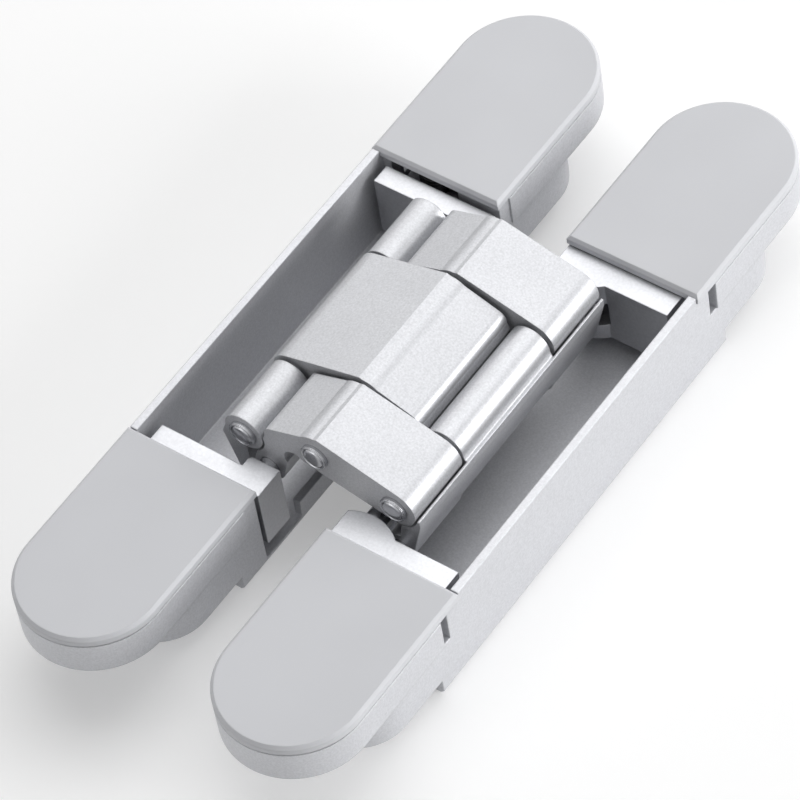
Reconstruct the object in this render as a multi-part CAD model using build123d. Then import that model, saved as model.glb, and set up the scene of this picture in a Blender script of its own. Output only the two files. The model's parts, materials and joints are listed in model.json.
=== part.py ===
from build123d import *
import math
import os

os.makedirs("parts", exist_ok=True)

# Overall sizes of one half, in millimetres
BODY_LENGTH = 160.0
BODY_WIDTH = 28.0
BODY_DEPTH = 21.0
OPEN_GAP = 15.0

# Body levels below the face, and wall thicknesses
CAP_OVERHANG = 0.6
CAP_THICK = 1.8
CAP_EDGE = 0.6
SHADOW_LINE = 0.35
SEAT_IN = 0.7
RIM_DROP = 0.4
RIM_GAP = 0.15
FLANGE_DEPTH = 9.0
BOSS_DEPTH = 18.7
FLANGE_REACH = 15.0
WALL_INSET = 0.3
BOSS_CORNER = 10.0
DEEP_REACH = 6.9
SIDE_WALL = 1.8
DEEP_FLOOR = 1.4
BOSS_FLOOR = 1.8
POCKET_ROOM = 1.0
OUTER_FOOT = 3.7
NOTCH_IN = 3.0
NOTCH_WIDTH = 2.0
LIP_HEIGHT = 5.4
LIP_END = 1.5
UNDER_ROUND = 1.6

# Mounting screw holes
SCREW_SPACING_X = 13.0
SCREW_FROM_END = 10.5
SCREW_HOLE_R = 2.25

# Pivots of the frame side, measured from that body's face centre
FIX_INSET = 4.0
FIX_Z = -5.5
LINK_INSET = 8.5
LINK_Z = -10.1
KNUCKLE_INSET = 8.7
KNUCKLE_Z = 1.0
CENTRE_Z = 5.0

# Arm and link lanes along the length
ARM_HALF = 28.4
CENTRE_HALF = 13.4
LANE_GAP = 0.8
LEG_INNER = 20.3
LEG_RELIEF = 2.2

# Arm profile
NOSE_R = 4.3
BOSS_R = 4.5
EYE_R = 3.2
LEG_TOP_R = 2.7
LEG_TOP_X = -8.8
LEG_TOP_Z = 2.4
RIDGE_X = 0.8
RIDGE_Z = 9.8
HEEL_X = -11.3
HEEL_Z = 5.4
HEEL_R = 2.2
ARCH_X = -5.2
ARCH_Z = -0.3
ARCH_R = 2.4
ARCH_FILL = 1.0
SEAM = 0.45

# Links
KNUCKLE_R = 4.0
LINK_EYE_R = 2.9
PLATE_OFFSET = 5.1
PLATE_IN = 1.5
PLATE_TOP = 0.9
PLATE_BEND = 2.6

# Pins
PIN_R = 2.0
LINK_PIN_R = 1.6
HEAD_R = 2.7
HEAD_HIGH = 0.7
RUN_FIT = 0.05
OPEN_PIVOT = 1.4

# Carriers
FRAME_CARRIER_TOP = 2.9
DOOR_CARRIER_TOP = 2.1
HEAD_ROOM = 0.8
EAR_DEEP = 2.4
EAR_WIDE = 6.4
EAR_EDGE = 0.6
EAR_ARC = 9.0
EAR_ARC_IN = 4.7
CARRIER_DEEP = 4.1
CARRIER_INSET = 0.4
TONGUE_LONG = 10.6
TONGUE_TOP = 7.6
SLIDE_ROOM = 0.2
FRAME_TRAVEL = 1.0
DOOR_TRAVEL = 1.5

# Lock screws
LOCK_IN = 4.2
LOCK_R = 2.6
LOCK_TOP = 2.2
SLOT_GAP = 0.3
SLOT_WALL = 1.3

CENTRE_X = OPEN_GAP / 2 + BODY_WIDTH / 2
BODY_HALF = BODY_LENGTH / 2
END_R = BODY_WIDTH / 2
CAVITY_X = BODY_WIDTH / 2 - SIDE_WALL
SCREW_SPACING_Y = BODY_LENGTH - 2 * SCREW_FROM_END

# Stations along the length, from the arms outwards
EAR_FRONT = ARM_HALF + HEAD_HIGH + HEAD_ROOM
CARRIER_FRONT = EAR_FRONT + EAR_DEEP
CARRIER_STEP = CARRIER_FRONT + CARRIER_DEEP
CARRIER_BACK = CARRIER_STEP + TONGUE_LONG
INNER_WALL_END = CARRIER_STEP + FRAME_TRAVEL + SLIDE_ROOM
CAP_INNER = INNER_WALL_END - CAP_OVERHANG
DEEP_HALF = INNER_WALL_END + DEEP_REACH
NOTCH_START = INNER_WALL_END + NOTCH_IN
POCKET_HALF = CARRIER_BACK + FRAME_TRAVEL + POCKET_ROOM
BOSS_HALF = BODY_HALF - FLANGE_REACH
LOCK_Y = CARRIER_STEP + LOCK_IN
CARRIER_BOTTOM = BOSS_DEPTH - BOSS_FLOOR - SLIDE_ROOM

# Stations across one body
TONGUE_HALF = LOCK_R + SLOT_GAP + DOOR_TRAVEL + SLOT_WALL
POCKET_WIDE = 2 * (TONGUE_HALF + DOOR_TRAVEL + SLIDE_ROOM)
INNER_FOOT = BODY_WIDTH - OUTER_FOOT - POCKET_WIDE
POCKET_OUTER = OUTER_FOOT - END_R
POCKET_INNER = END_R - INNER_FOOT
TONGUE_OUTER = POCKET_OUTER + DOOR_TRAVEL + SLIDE_ROOM
TONGUE_INNER = POCKET_INNER - DOOR_TRAVEL - SLIDE_ROOM
CARRIER_OUTER = DOOR_TRAVEL + SLIDE_ROOM - CAVITY_X
CARRIER_INNER = END_R - CARRIER_INSET
LOCK_X = (POCKET_OUTER + POCKET_INNER) / 2
FIX_X = END_R - FIX_INSET
LINK_X = END_R - LINK_INSET
KNUCKLE_X = END_R - KNUCKLE_INSET

# Pivots in the shared frame, with the centre pin at x = 0
FIX = (FIX_X - CENTRE_X, FIX_Z)
LINK = (LINK_X - CENTRE_X, LINK_Z)
KNUCKLE = (KNUCKLE_X - CENTRE_X, KNUCKLE_Z)
CENTRE = (0.0, CENTRE_Z)


def block(x0, x1, y0, y1, z0, z1):
    return Pos((x0 + x1) / 2, (y0 + y1) / 2, (z0 + z1) / 2) * Box(x1 - x0, y1 - y0, z1 - z0)


def prism(sketch, y0, y1):
    return Pos(0, y1, 0) * extrude(Plane.XZ * sketch, amount=y1 - y0)


def disc(at, r):
    return Pos(at[0], at[1]) * Circle(r)


def rod(at, r, y0, y1):
    return prism(disc(at, r), y0, y1)


def poly(points):
    return make_face(Polyline(*points, close=True))


def strap(a, ra, b, rb):
    dx = b[0] - a[0]
    dz = b[1] - a[1]
    span = math.hypot(dx, dz)
    turn = math.atan2(dz, dx)
    lean = math.acos((ra - rb) / span)
    up = (math.cos(turn + lean), math.sin(turn + lean))
    low = (math.cos(turn - lean), math.sin(turn - lean))
    corners = [
        (a[0] + ra * up[0], a[1] + ra * up[1]),
        (a[0] + ra * low[0], a[1] + ra * low[1]),
        (b[0] + rb * low[0], b[1] + rb * low[1]),
        (b[0] + rb * up[0], b[1] + rb * up[1]),
    ]
    return poly(corners) + disc(a, ra) + disc(b, rb)


def mirror_x(shape):
    return mirror(shape, about=Plane.YZ)


def lying(shape):
    return Pos(0, 0, BODY_DEPTH) * shape


def save(name, *solids):
    placed = [lying(s).solid() for s in solids]
    shape = placed[0] if len(placed) == 1 else Compound(children=placed)
    export_step(shape, f"parts/{name}.step")


# Rounded plan outline shared by flange, cap and boss
def stadium(half, r):
    return Rectangle(2 * r, 2 * (half - r)) + Pos(0, half - r) * Circle(r) + Pos(0, r - half) * Circle(r)


# One trough body about its own face centre, +X towards the other half
def make_body():
    # Flange with a seat for the caps, set in so that a fine dark line shows under each cap
    shoulder = CAP_THICK + SHADOW_LINE
    flange = Pos(0, 0, -FLANGE_DEPTH) * extrude(stadium(BODY_HALF, END_R), amount=FLANGE_DEPTH - shoulder)
    seat = stadium(BODY_HALF - SEAT_IN, END_R - SEAT_IN)
    flange += Pos(0, 0, -shoulder) * extrude(seat, amount=SHADOW_LINE)
    flange -= block(-END_R, END_R, -NOTCH_START, NOTCH_START, -FLANGE_DEPTH, 0)
    wall_x = END_R - WALL_INSET
    boss = Pos(0, 0, -BOSS_DEPTH) * extrude(
        RectangleRounded(2 * wall_x, 2 * BOSS_HALF, BOSS_CORNER), amount=BOSS_DEPTH - FLANGE_DEPTH
    )
    boss = chamfer(boss.edges().group_by(Axis.Z)[0], UNDER_ROUND)
    deep = block(-wall_x, wall_x, -DEEP_HALF, DEEP_HALF, -BODY_DEPTH, -CAP_THICK)
    deep = chamfer(deep.edges().filter_by(Axis.Y).group_by(Axis.Z)[0], UNDER_ROUND / 2)
    rim_y = CAP_INNER - RIM_GAP
    rim = block(-wall_x, wall_x, -rim_y, rim_y, -CAP_THICK - 1, -RIM_DROP)
    body = flange + boss + deep + rim
    # Centre trough and the end pockets under the caps
    trough_y = INNER_WALL_END
    body -= block(-CAVITY_X, CAVITY_X, -trough_y, trough_y, DEEP_FLOOR - BODY_DEPTH, 0)
    body -= block(POCKET_OUTER, POCKET_INNER, -POCKET_HALF, POCKET_HALF, BOSS_FLOOR - BOSS_DEPTH, 0)
    # Between the caps the wall facing the other half is cut down to a lip, and lower still at its ends
    lip_top = LIP_HEIGHT - BODY_DEPTH
    lip_y = ARM_HALF - LIP_END
    body -= block(CAVITY_X - 1, END_R + 1, -trough_y, trough_y, lip_top, 1)
    for sy in (-1, 1):
        low = min(sy * lip_y, sy * trough_y)
        body -= block(CAVITY_X - 1, END_R + 1, low, low + trough_y - lip_y, DEEP_FLOOR - BODY_DEPTH, 1)
    # Narrow windows in the outer wall just under the caps
    for sy in (-1, 1):
        middle_y = sy * (NOTCH_START + NOTCH_WIDTH / 2)
        window = Box(2 * (END_R + POCKET_OUTER), NOTCH_WIDTH, 2 * FLANGE_DEPTH)
        body -= Pos(-END_R, middle_y, 0) * window
    # Mounting screw holes
    for sx in (-1, 1):
        for sy in (-1, 1):
            at = Pos(sx * SCREW_SPACING_X / 2, sy * SCREW_SPACING_Y / 2, -FLANGE_DEPTH / 2)
            body -= at * Cylinder(SCREW_HOLE_R, FLANGE_DEPTH + 4)
    return body


# Clip-on cover plate of one end, drawn for the far end
def make_cap():
    plate = extrude(stadium(BODY_HALF, END_R), amount=-CAP_THICK)
    plate &= block(-END_R, END_R, CAP_INNER, BODY_HALF, -CAP_THICK, 0)
    return chamfer(plate.edges().group_by(Axis.Z)[-1], CAP_EDGE)


# Pin carrier of one end, drawn for the far end of the frame body
def square_ear():
    left = CARRIER_INNER - EAR_WIDE
    ear = block(left, CARRIER_INNER, EAR_FRONT, CARRIER_STEP, -CARRIER_BOTTOM, -FRAME_CARRIER_TOP)
    corner = ear.edges().filter_by(Axis.Z).sort_by(lambda e: e.center().X + e.center().Y)[0]
    return chamfer(corner, EAR_EDGE)


def arched_ear():
    middle_x = CARRIER_INNER - EAR_ARC_IN
    height = CARRIER_BOTTOM - DOOR_CARRIER_TOP
    ear = Pos(middle_x, EAR_FRONT + EAR_ARC, -DOOR_CARRIER_TOP - height / 2) * Cylinder(EAR_ARC, height)
    left = middle_x - EAR_ARC
    return ear & block(left, CARRIER_INNER, EAR_FRONT - 1, CARRIER_STEP, -CARRIER_BOTTOM, -DOOR_CARRIER_TOP)


def make_carrier(ear, top, back, travel_x, travel_y):
    low = -CARRIER_BOTTOM
    shape = ear + block(CARRIER_OUTER, CARRIER_INNER, CARRIER_FRONT, back, low, top)
    shape += block(TONGUE_OUTER, TONGUE_INNER, CARRIER_STEP, CARRIER_BACK, low, -TONGUE_TOP)
    # Slot for the lock screw, long enough for the adjustment
    slot_x = LOCK_R + SLOT_GAP + travel_x
    slot_y = LOCK_R + SLOT_GAP + travel_y
    shape -= block(LOCK_X - slot_x, LOCK_X + slot_x, LOCK_Y - slot_y, LOCK_Y + slot_y, low - 1, top)
    # Bore for the arm pin, and a window with room for the link pin of the opened pivot
    shape -= rod((FIX_X, FIX_Z), PIN_R, 0, CARRIER_STEP)
    room = LINK_PIN_R + OPEN_PIVOT
    shape -= block(LINK_X - room, LINK_X + room, 0, CARRIER_STEP, LINK_Z - room, LINK_Z + room)
    return shape


# Side arm outline: nose on the door knuckle, boss on the centre pin, leg down to the frame
def arm_outline():
    nose = (-KNUCKLE[0], KNUCKLE[1])
    leg_top = (LEG_TOP_X, LEG_TOP_Z)
    outline = strap(CENTRE, BOSS_R, nose, NOSE_R) + strap(FIX, EYE_R, leg_top, LEG_TOP_R)
    lean = math.atan2(RIDGE_Z - nose[1], RIDGE_X - nose[0])
    reach = math.hypot(RIDGE_Z - nose[1], RIDGE_X - nose[0])
    touch = lean - math.acos(NOSE_R / reach)
    crest = (nose[0] + NOSE_R * math.cos(touch), nose[1] + NOSE_R * math.sin(touch))
    # The heel is rounded: its disc touches the roof slope and the side facing the frame's knuckle
    slope = math.atan2(RIDGE_Z - HEEL_Z, RIDGE_X - HEEL_X)
    heel_x = HEEL_X + HEEL_R
    heel_z = HEEL_Z + HEEL_R * math.tan(slope) - HEEL_R / math.cos(slope)
    heel_top = (heel_x - HEEL_R * math.sin(slope), heel_z + HEEL_R * math.cos(slope))
    roof = [(HEEL_X, heel_z), heel_top, (RIDGE_X, RIDGE_Z), crest, nose]
    roof += [(0, ARCH_FILL), (HEEL_X, ARCH_FILL)]
    outline += poly(roof) + disc((heel_x, heel_z), HEEL_R)
    outline -= disc((ARCH_X, ARCH_Z), ARCH_R)
    return outline - disc(KNUCKLE, KNUCKLE_R + SEAM)


# Link plate outline: its outer face leaves the knuckle on the outer wall side and bends in to the eye
def plate_outline(tangent):
    dx = LINK[0] - KNUCKLE[0]
    dz = LINK[1] - KNUCKLE[1]
    span = math.hypot(dx, dz)
    ux = dx / span
    uz = dz / span
    nx = uz
    nz = -ux

    def at(along, off):
        return (KNUCKLE[0] + ux * along + nx * off, KNUCKLE[1] + uz * along + nz * off)

    far = PLATE_OFFSET
    top = [at(PLATE_TOP, PLATE_IN), at(PLATE_TOP, far)]
    if tangent:
        top = [at(0, 0), at(0, KNUCKLE_R)]
    return poly(top + [at(PLATE_BEND, far), at(span, LINK_EYE_R), at(span, 0)])


def both_sides(sketch, y0, y1):
    return prism(sketch, y0, y1) + prism(sketch, -y1, -y0)


# Frame link: two short knuckles, full-width plate, one wide eye
def make_frame_link():
    lane = CENTRE_HALF + LANE_GAP
    shape = both_sides(disc(KNUCKLE, KNUCKLE_R), lane, ARM_HALF)
    shape += both_sides(plate_outline(True), lane, ARM_HALF)
    eye_half = LEG_INNER - LANE_GAP
    shape += prism(plate_outline(False) + disc(LINK, LINK_EYE_R), -eye_half, eye_half)
    shape -= rod(KNUCKLE, PIN_R + RUN_FIT, -ARM_HALF, ARM_HALF)
    shape -= prism(disc(KNUCKLE, NOSE_R + SEAM), -lane, lane)
    return shape - rod(LINK, LINK_PIN_R, -ARM_HALF, ARM_HALF)


# Door link: one wide knuckle, full-width plate, two outer eyes, drawn on the frame side then mirrored
def make_door_link():
    lane = CENTRE_HALF + LANE_GAP
    shape = prism(disc(KNUCKLE, KNUCKLE_R) + plate_outline(True), -CENTRE_HALF, CENTRE_HALF)
    shape += prism(plate_outline(False), -ARM_HALF, ARM_HALF)
    shape += both_sides(disc(LINK, LINK_EYE_R), lane, ARM_HALF)
    shape -= rod(KNUCKLE, PIN_R + RUN_FIT, -ARM_HALF, ARM_HALF)
    shape -= both_sides(disc(KNUCKLE, NOSE_R + SEAM), CENTRE_HALF, ARM_HALF)
    shape -= rod(LINK, LINK_PIN_R, -ARM_HALF, ARM_HALF)
    return mirror_x(shape)


# Riveted pin with a head on each end face
def headed_pin(at, half):
    pin = rod(at, PIN_R, -half, half)
    return pin + rod(at, HEAD_R, half, half + HEAD_HIGH) + rod(at, HEAD_R, -half - HEAD_HIGH, -half)


# Lock screw: a headless stud through the carrier's slotted tongue
def make_lock_screw(y):
    tip = BOSS_FLOOR - BOSS_DEPTH
    return Pos(LOCK_X, y, (tip - LOCK_TOP) / 2) * Cylinder(LOCK_R, -LOCK_TOP - tip)


def frame_side(shape):
    return Pos(-CENTRE_X, 0, 0) * shape


def door_side(shape):
    return Pos(CENTRE_X, 0, 0) * Rot(0, 0, 180) * shape


def flip_y(shape):
    return mirror(shape, about=Plane.XZ)


body = make_body()
cap = make_cap()
save("frame_body", frame_side(body))
save("door_body", door_side(body))
save("frame_far_cap", frame_side(cap))
save("frame_near_cap", frame_side(flip_y(cap)))
save("door_far_cap", Pos(CENTRE_X, 0, 0) * cap)
save("door_near_cap", Pos(CENTRE_X, 0, 0) * flip_y(cap))

frame_carrier = make_carrier(square_ear(), -FRAME_CARRIER_TOP, CARRIER_STEP, 0, FRAME_TRAVEL)
door_back = INNER_WALL_END - SLIDE_ROOM
door_carrier = mirror_x(make_carrier(arched_ear(), -DOOR_CARRIER_TOP, door_back, DOOR_TRAVEL, 0))
save("frame_far_carrier", frame_side(frame_carrier))
save("frame_near_carrier", frame_side(flip_y(frame_carrier)))
save("door_far_carrier", Pos(CENTRE_X, 0, 0) * door_carrier)
save("door_near_carrier", Pos(CENTRE_X, 0, 0) * flip_y(door_carrier))

# Arms: two side arms on the outer lanes, one wide arm between them
outline = arm_outline()
lane = CENTRE_HALF + LANE_GAP
side = prism(outline, lane, ARM_HALF)
side -= prism(disc(FIX, EYE_R + LEG_RELIEF), lane - 1, LEG_INNER)
side -= rod(FIX, PIN_R + RUN_FIT, lane, ARM_HALF)
side -= rod(CENTRE, PIN_R, lane, ARM_HALF)
side -= rod((-KNUCKLE[0], KNUCKLE[1]), PIN_R, lane, ARM_HALF)
save("far_side_arm", side)
save("near_side_arm", flip_y(side))
middle = prism(mirror_x(outline), -CENTRE_HALF, CENTRE_HALF)
middle -= rod((-FIX[0], FIX[1]), PIN_R + RUN_FIT, -CENTRE_HALF, CENTRE_HALF)
middle -= rod(CENTRE, PIN_R + RUN_FIT, -CENTRE_HALF, CENTRE_HALF)
middle -= rod(KNUCKLE, PIN_R, -CENTRE_HALF, CENTRE_HALF)
save("centre_arm", middle)

save("frame_link", make_frame_link())
save("door_link", make_door_link())

# Pins
save("frame_knuckle_pin", headed_pin(KNUCKLE, ARM_HALF))
save("centre_pin", headed_pin(CENTRE, ARM_HALF))
save("door_knuckle_pin", headed_pin((-KNUCKLE[0], KNUCKLE[1]), ARM_HALF))
save("frame_arm_pin", rod(FIX, PIN_R, -CARRIER_STEP, CARRIER_STEP))
save("door_arm_pin", rod((-FIX[0], FIX[1]), PIN_R, -CARRIER_STEP, CARRIER_STEP))
save("frame_link_pin", rod(LINK, LINK_PIN_R, -CARRIER_FRONT, CARRIER_FRONT))
save("door_link_pin", rod((-LINK[0], LINK[1]), LINK_PIN_R, -CARRIER_FRONT, CARRIER_FRONT))

# Lock screws
save("frame_lock_screws", frame_side(make_lock_screw(LOCK_Y)), frame_side(make_lock_screw(-LOCK_Y)))
save("door_lock_screws", door_side(make_lock_screw(LOCK_Y)), door_side(make_lock_screw(-LOCK_Y)))
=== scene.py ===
# %% [markdown]
# # A concealed door hinge, laid open
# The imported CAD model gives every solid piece: two trough bodies, their cover caps, the pin carriers,
# the interleaved arms, the links, the pins and the lock screws. This lesson dresses those solids with
# finishes worked out from noise, adds the fine pieces that solids leave plain, and sets a studio.

import json

import bpy
import numpy as np
from mathutils import Matrix, Vector


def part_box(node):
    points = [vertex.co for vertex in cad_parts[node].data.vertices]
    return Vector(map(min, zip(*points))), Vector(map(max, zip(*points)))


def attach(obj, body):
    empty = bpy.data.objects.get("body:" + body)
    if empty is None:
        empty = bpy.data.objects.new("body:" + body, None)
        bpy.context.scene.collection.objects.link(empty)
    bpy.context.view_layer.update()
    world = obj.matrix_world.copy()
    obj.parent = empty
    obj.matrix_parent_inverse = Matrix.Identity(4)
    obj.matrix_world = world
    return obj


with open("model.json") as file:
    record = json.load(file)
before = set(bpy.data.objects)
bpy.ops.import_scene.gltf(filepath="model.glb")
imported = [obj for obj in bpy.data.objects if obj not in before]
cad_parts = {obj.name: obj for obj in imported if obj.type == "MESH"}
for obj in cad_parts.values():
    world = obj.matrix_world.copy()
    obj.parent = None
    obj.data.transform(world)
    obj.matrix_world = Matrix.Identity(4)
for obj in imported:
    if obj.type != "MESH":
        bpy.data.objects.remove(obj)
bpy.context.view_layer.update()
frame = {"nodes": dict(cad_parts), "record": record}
nodes = frame["nodes"]
print("pieces in the frame:", len(nodes))

# %% [markdown]
# ## A small kit for finishes
# Every surface of the real hinge is blasted metal, moulded plastic or bare steel. A finish could be
# painted as a picture, but a picture needs a map of each face, and these meshes have none. So a finish
# is a handful of shader nodes that read where a point lies on its piece. These helpers start a
# material, add a node, spread noise over a piece and turn that noise into tones.

# %% Shader helpers


def new_finish(name):
    """A material with an empty node tree, its Principled shader and output joined."""
    finish = bpy.data.materials.new(name)
    finish.use_nodes = True
    tree = finish.node_tree
    tree.nodes.clear()
    shader = tree.nodes.new("ShaderNodeBsdfPrincipled")
    output = tree.nodes.new("ShaderNodeOutputMaterial")
    tree.links.new(shader.outputs["BSDF"], output.inputs["Surface"])
    return finish, tree, shader


def add(tree, kind, **sockets):
    """A new shader node with the given input values set on its sockets."""
    node = tree.nodes.new(kind)
    for name, value in sockets.items():
        node.inputs[name.replace("_", " ")].default_value = value
    return node


def spread_noise(tree, scale, detail, roughness):
    """Noise over the piece's own coordinates, with about scale cells to the metre."""
    place = tree.nodes.new("ShaderNodeTexCoord")
    noise = add(tree, "ShaderNodeTexNoise", Scale=scale, Detail=detail, Roughness=roughness)
    tree.links.new(place.outputs["Object"], noise.inputs["Vector"])
    return noise


def ramp(tree, source, stops):
    """A colour ramp fed by a socket; stops are (position, grey or rgb)."""
    node = tree.nodes.new("ShaderNodeValToRGB")
    tree.links.new(source, node.inputs["Fac"])
    elements = node.color_ramp.elements
    while len(elements) < len(stops):
        elements.new(0.5)
    for element, (place, tone) in zip(elements, stops):
        element.position = place
        rgb = tone if isinstance(tone, tuple) else (tone, tone, tone)
        element.color = (*rgb, 1.0)
    return node


print("shader helpers ready")

# %% [markdown]
# ### Soft edges
# A cast or machined edge is never knife sharp: its small round catches a line of light. A fillet on
# every edge costs many faces, and a Bevel modifier needs joined faces, which a CAD mesh lacks. A Bevel
# node only bends the normal near an edge. A Bump node on top of it lifts the surface by a fine noise.

# %% Soft edges and grain


def soften(tree, shader, noise, edge, strength, depth):
    """Round every edge by a Bevel node, lift the surface by a noise, and give that to the shader."""
    soft = tree.nodes.new("ShaderNodeBevel")
    soft.samples = 6
    soft.inputs["Radius"].default_value = edge
    lift = add(tree, "ShaderNodeBump", Strength=strength, Distance=depth)
    tree.links.new(noise.outputs["Fac"], lift.inputs["Height"])
    tree.links.new(soft.outputs["Normal"], lift.inputs["Normal"])
    tree.links.new(lift.outputs["Normal"], shader.inputs["Normal"])


def cool(grey):
    """A grey with the faint blue of bare silver metal."""
    return (0.985 * grey, 0.995 * grey, 1.035 * grey)


print("a cool mid grey:", cool(0.5))

# %% [markdown]
# ## Metal finishes
# The real bodies, arms and carriers are zinc castings, blasted and coated a satin silver. The pins are
# plain steel and the lock screws are plated black. They differ only in tone, gloss and grain, so one
# recipe makes them all: blasting leaves tiny dimples, which a fine noise shows as two close tones.

# %% Blasted metals
GRAIN_DEPTH = 0.00005
SLOW_SCALE = 90.0


def blasted_metal(name, light, dark, roughness, metallic, grain, bump, edge):
    """Bead-blasted metal: cells of fine noise shift the colour between two tones, the same
    noise lifts the surface a little, and a slow noise varies the roughness."""
    finish, tree, shader = new_finish(name)
    fine = spread_noise(tree, grain, 3.0, 0.65)
    slow = spread_noise(tree, SLOW_SCALE, 2.0, 0.5)
    tone = ramp(tree, fine.outputs["Fac"], [(0.3, cool(dark)), (0.7, cool(light))])
    tree.links.new(tone.outputs["Color"], shader.inputs["Base Color"])
    gloss = ramp(tree, slow.outputs["Fac"], [(0.3, roughness - 0.04), (0.7, roughness + 0.05)])
    tree.links.new(gloss.outputs["Color"], shader.inputs["Roughness"])
    soften(tree, shader, fine, edge, bump, GRAIN_DEPTH)
    shader.inputs["Metallic"].default_value = metallic
    return finish


satin_body = blasted_metal(
    "satin_body", light=0.67, dark=0.56, roughness=0.52, metallic=0.42, grain=2600, bump=0.25, edge=0.0004
)
satin_arm = blasted_metal(
    "satin_arm", light=0.56, dark=0.43, roughness=0.40, metallic=0.45, grain=2600, bump=0.25, edge=0.00018
)
bright_carrier = blasted_metal(
    "bright_carrier", light=0.52, dark=0.45, roughness=0.42, metallic=0.88, grain=1900, bump=0.4, edge=0.0003
)
satin_link = blasted_metal(
    "satin_link", light=0.57, dark=0.44, roughness=0.36, metallic=0.45, grain=2600, bump=0.2, edge=0.0003
)
turned_pin = blasted_metal(
    "turned_pin", light=0.46, dark=0.38, roughness=0.26, metallic=1.0, grain=1200, bump=0.15, edge=0.0002
)
plated_screw = blasted_metal(
    "plated_screw", light=0.10, dark=0.07, roughness=0.32, metallic=0.8, grain=1500, bump=0.15, edge=0.0002
)
print("metals made")

# %% [markdown]
# ### Moulded plastic
# The cover caps are plastic in a flat pale grey, from a mould with a spark-eroded skin. The metal
# recipe would give it two tones of grain, so this one keeps the colour nearly even and puts the fine
# noise in the surface alone.

# %% Moulded caps
CAP_GRAIN_DEPTH = 0.00003
CAP_EDGE = 0.0003


def moulded_cap():
    """Matte moulded plastic: a near-even grey with a very fine spark-eroded grain."""
    finish, tree, shader = new_finish("moulded_cap")
    fine = spread_noise(tree, 5200.0, 2.0, 0.6)
    slow = spread_noise(tree, 40.0, 2.0, 0.5)
    tone = ramp(tree, slow.outputs["Fac"], [(0.3, cool(0.615)), (0.7, cool(0.645))])
    tree.links.new(tone.outputs["Color"], shader.inputs["Base Color"])
    soften(tree, shader, fine, CAP_EDGE, 0.12, CAP_GRAIN_DEPTH)
    shader.inputs["Roughness"].default_value = 0.55
    shader.inputs["Specular IOR Level"].default_value = 0.35
    return finish


cap_grey = moulded_cap()
print("caps:", cap_grey.name)

# %% [markdown]
# ## Dressing
# Each piece could be dressed by its own name. Every CAD piece also names a material slot in the record,
# so one table from slot to finish dresses them all and leaves none out.

# %% Dress the CAD pieces
finish_of = {
    "body": satin_body,
    "cap": cap_grey,
    "carrier": bright_carrier,
    "arm": satin_arm,
    "link": satin_link,
    "pin": turned_pin,
    "screw": plated_screw,
}
slot_of = {piece["node"]: piece["material_slot"] for piece in frame["record"]["subparts"]}
for name, piece in nodes.items():
    piece.data.materials.clear()
    piece.data.materials.append(finish_of[slot_of[name]])
print("dressed", len(slot_of), "pieces")

# %% [markdown]
# ## Rivet ends
# The long pins of the real hinge are riveted: each end is a low dome with a turned groove round it. A
# Screw modifier could turn it from a drawn curve. Here a short profile of radii and heights is swept
# once round the pin's axis with numpy, which puts the place straight into the mesh.

# %% Pieces from rings of points


def add_piece(name, points, faces, finish, body):
    """A mesh piece from an array of points and a list of faces, dressed, and riding on a body."""
    mesh = bpy.data.meshes.new(name)
    mesh.from_pydata(points.tolist(), [], faces)
    mesh.shade_smooth()
    mesh.materials.append(finish)
    piece = bpy.data.objects.new(name, mesh)
    bpy.context.collection.objects.link(piece)
    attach(piece, body)
    return piece


def tube_faces(rows, columns):
    """Faces of a closed tube whose points are stored ring by ring: quads join each ring to the
    next, and one flat face shuts the first ring and one the last."""
    ring = np.arange(rows * columns).reshape(rows, columns)
    turned = np.roll(ring, -1, axis=1)
    quads = np.stack([ring[:-1], turned[:-1], turned[1:], ring[1:]], axis=-1).reshape(-1, 4)
    return [*quads.tolist(), ring[0, ::-1].tolist(), ring[-1].tolist()]


print("faces of a tube of 3 rings of 8:", len(tube_faces(3, 8)))

# %% Domed ends on the headed pins
MM = 0.001
DOME_POINTS = 48
dome_r = np.array([2.62, 2.6, 2.5, 2.35, 2.3, 2.02, 1.98, 1.9, 1.7, 1.35, 0.9, 0.45, 0.02]) * MM
dome_h = np.array([-0.05, 0.12, 0.18, 0.18, 0.02, 0.02, 0.14, 0.22, 0.3, 0.38, 0.43, 0.455, 0.46]) * MM
angle = np.linspace(0, 2 * np.pi, DOME_POINTS, endpoint=False)
headed = {"frame_knuckle_pin": "middle_arm", "centre_pin": "side_arms", "door_knuckle_pin": "side_arms"}
for name, body in headed.items():
    low, high = (np.array(corner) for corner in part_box(name))
    middle = (low + high) / 2
    for side, end in ((-1, low[1]), (1, high[1])):
        x = middle[0] + np.outer(dome_r, np.cos(angle))
        z = middle[2] + np.outer(dome_r, np.sin(angle)) * -side
        y = np.repeat(end + side * dome_h, angle.size).reshape(x.shape)
        points = np.stack([x, y, z], axis=-1).reshape(-1, 3)
        label = f"{name}_{'near' if side < 0 else 'far'}_dome"
        add_piece(label, points, tube_faces(dome_r.size, angle.size), turned_pin, body)
print("domed ends:", 2 * len(headed))

# %% [markdown]
# ## Screw threads
# The lock screws clamp the carriers, and their black thread shows through the slot under a cap. Bump
# alone would leave the screw's outline smooth. So a ridge of five points is carried along a helix: the
# angle runs on steadily while the height falls by one pitch each turn.

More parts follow.
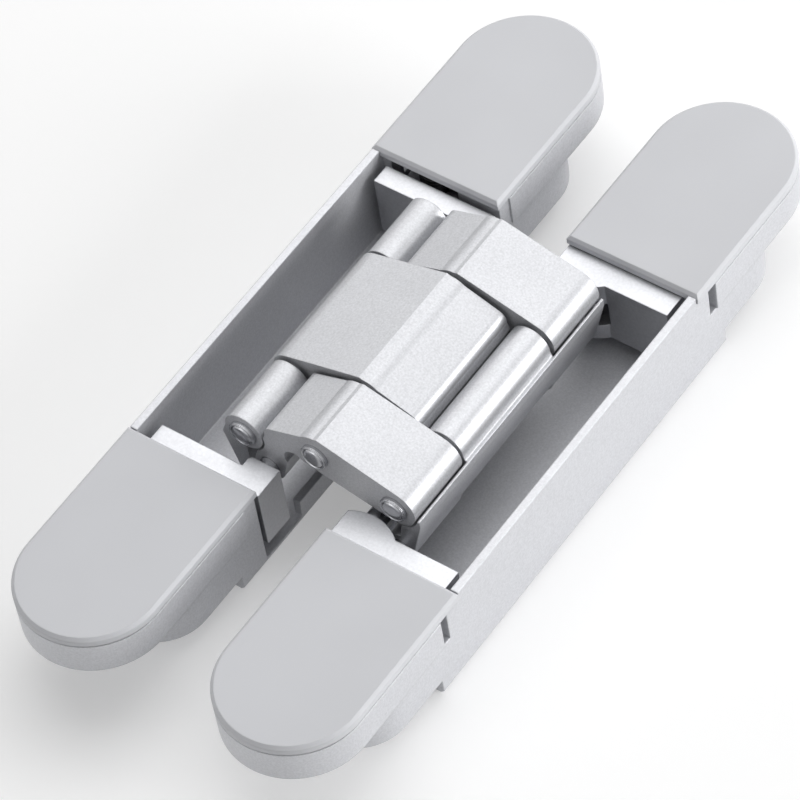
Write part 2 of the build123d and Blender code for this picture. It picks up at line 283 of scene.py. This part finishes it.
# %% Threads on the lock screws
PITCH, DEPTH, STEPS, TURNS = 0.9 * MM, 0.35 * MM, 40, 5.2
ROOT_SINK = 0.05 * MM
TOP_GAP = 0.5 * MM
ridge_z = np.array([0.42, 0.3, 0.0, -0.3, -0.42]) * PITCH
swing = np.linspace(0, 2 * np.pi * TURNS, int(STEPS * TURNS))
screws = {"frame_lock_screws": "frame", "door_lock_screws": "door"}
for name, body in screws.items():
    low, high = (np.array(corner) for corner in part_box(name))
    middle_x = (low[0] + high[0]) / 2
    radius = (high[0] - low[0]) / 2
    ridge_r = np.array([0.0, 0.25, 1.0, 0.25, 0.0]) * DEPTH + radius - ROOT_SINK
    top = high[2] - TOP_GAP
    for side, middle_y in (("near", low[1] + radius), ("far", high[1] - radius)):
        x = middle_x + np.outer(np.cos(swing), ridge_r)
        y = middle_y + np.outer(np.sin(swing), ridge_r)
        z = (top - PITCH * swing / (2 * np.pi))[:, None] + ridge_z[None, :]
        points = np.stack([x, y, z], axis=-1).reshape(-1, 3)
        faces = tube_faces(swing.size, ridge_r.size)
        add_piece(f"{name}_{side}_thread", points, faces, plated_screw, body)
print("threads:", 2 * len(screws))

# %% [markdown]
# ## Studio
# The photograph has a bare white ground. More light would burn out the silver, so the white comes from
# what the camera and reflections see, while the hinge itself is lit gently. The Light Path node tells
# the two kinds of ray apart.

# %% What the camera and reflections see


def white_to_view(tree):
    """A socket that is 1 for rays from the camera, a reflection or a refraction, and 0 for light."""
    path = tree.nodes.new("ShaderNodeLightPath")
    total = path.outputs["Is Camera Ray"]
    for kind in ("Is Glossy Ray", "Is Transmission Ray"):
        either = tree.nodes.new("ShaderNodeMath")
        either.operation = "MAXIMUM"
        tree.links.new(total, either.inputs[0])
        tree.links.new(path.outputs[kind], either.inputs[1])
        total = either.outputs[0]
    return total


print("ray test ready")

# %% [markdown]
# ### Floor
# A flat grid of pale paper lies a hair below the hinge. A floor that was only white to the camera would
# lose the shadow, so this one is a pale matte colour that glows a little to the view.

# %% Floor
FLOOR_HALF, FLOOR_POINTS, FLOOR_DROP = 1.6, 9, 0.0002
PAPER, FLOOR_GLOW = 0.75, 0.3
span = np.linspace(-FLOOR_HALF, FLOOR_HALF, FLOOR_POINTS)
across, along = np.meshgrid(span, span, indexing="ij")
points = np.stack([across.ravel(), along.ravel(), np.full(across.size, -FLOOR_DROP)], axis=1)
corner = np.arange(across.size).reshape(across.shape)
quads = np.stack([corner[:-1, :-1], corner[1:, :-1], corner[1:, 1:], corner[:-1, 1:]], axis=-1)
floor_mesh = bpy.data.meshes.new("floor")
floor_mesh.from_pydata(points.tolist(), [], quads.reshape(-1, 4).tolist())
floor = bpy.data.objects.new("floor", floor_mesh)
bpy.context.collection.objects.link(floor)
paper, tree, shader = new_finish("studio_paper")
shader.inputs["Base Color"].default_value = (PAPER, PAPER, PAPER, 1.0)
shader.inputs["Roughness"].default_value = 0.9
shader.inputs["Specular IOR Level"].default_value = 0.0
glow = tree.nodes.new("ShaderNodeMath")
glow.operation = "MULTIPLY"
glow.inputs[1].default_value = FLOOR_GLOW
tree.links.new(white_to_view(tree), glow.inputs[0])
tree.links.new(glow.outputs[0], shader.inputs["Emission Strength"])
shader.inputs["Emission Color"].default_value = (1.0, 1.0, 1.0, 1.0)
floor_mesh.materials.append(paper)
print("floor laid")

# %% [markdown]
# ### World
# Two backgrounds are mixed: a gentle one that lights the piece, and a white one that is only seen.

# %% World
SKY_LIGHT = 0.14
world = bpy.data.worlds.new("studio")
bpy.context.scene.world = world
world.use_nodes = True
tree = world.node_tree
tree.nodes.clear()
seen = white_to_view(tree)
lit = add(tree, "ShaderNodeBackground", Color=(1, 1, 1, 1), Strength=SKY_LIGHT)
white = add(tree, "ShaderNodeBackground", Color=(1, 1, 1, 1), Strength=1.0)
mix = tree.nodes.new("ShaderNodeMixShader")
tree.links.new(seen, mix.inputs["Fac"])
tree.links.new(lit.outputs[0], mix.inputs[1])
tree.links.new(white.outputs[0], mix.inputs[2])
out = tree.nodes.new("ShaderNodeOutputWorld")
tree.links.new(mix.outputs[0], out.inputs["Surface"])
print("world set")

# %% [markdown]
# ### Lamps
# Two large soft lamps hang high behind the hinge, a low one lights the door half's outer wall, and a
# weak one fills the near ends. A small lamp would leave a burnt spot where metal mirrors it, so each is
# a wide square that faces the hinge.

# %% Lamps
HINGE = (0, 0, 0)


def soft_lamp(name, place, aim, size, power):
    """A square area lamp at place, facing aim."""
    data = bpy.data.lights.new(name, "AREA")
    data.size = size
    data.energy = power
    lamp = bpy.data.objects.new(name, data)
    bpy.context.collection.objects.link(lamp)
    facing = Vector(aim) - Vector(place)
    lamp.matrix_world = Matrix.Translation(place) @ facing.to_track_quat("-Z", "Y").to_matrix().to_4x4()
    return lamp


soft_lamp("key_lamp", (-0.35, 0.65, 0.95), HINGE, size=1.6, power=10.8)
soft_lamp("card_lamp", (0.36, 0.56, 1.07), HINGE, size=2.0, power=5.8)
soft_lamp("side_lamp", (1.1, 0.45, 0.31), HINGE, size=0.6, power=11.0)
soft_lamp("front_lamp", (-0.3, -1.0, 0.31), HINGE, size=0.6, power=1.8)
print("lamps set")

# %% [markdown]
# ## Camera
# The photograph was taken from the door side's near corner, about fifty degrees up, with a long lens.
# A Track To constraint would only aim the camera. Its own forward and upward arrows also set its roll.

# %% Camera
IMAGE_PIXELS = 800
camera_data = bpy.data.cameras.new("photo_view")
camera_data.lens = 224.2
camera_data.sensor_width = 36.0
camera_data.sensor_fit = "HORIZONTAL"
camera_data.clip_start = 0.01
camera_data.clip_end = 20.0
camera_data.shift_x = -3.0 / IMAGE_PIXELS
camera_data.shift_y = -2.0 / IMAGE_PIXELS
camera = bpy.data.objects.new("photo_view", camera_data)
bpy.context.collection.objects.link(camera)
eye = Vector((0.37536, -0.39963, 0.70317))
forward = Vector((-0.4276, 0.4504, -0.7837))
upward = Vector((-0.3986, 0.6842, 0.6107))
right = forward.cross(upward).normalized()
upward = right.cross(forward).normalized()
turn = Matrix((right, upward, -forward)).transposed().to_4x4()
camera.matrix_world = Matrix.Translation(eye) @ turn
bpy.context.scene.camera = camera
bpy.context.scene.view_settings.view_transform = "Standard"
print("camera placed")
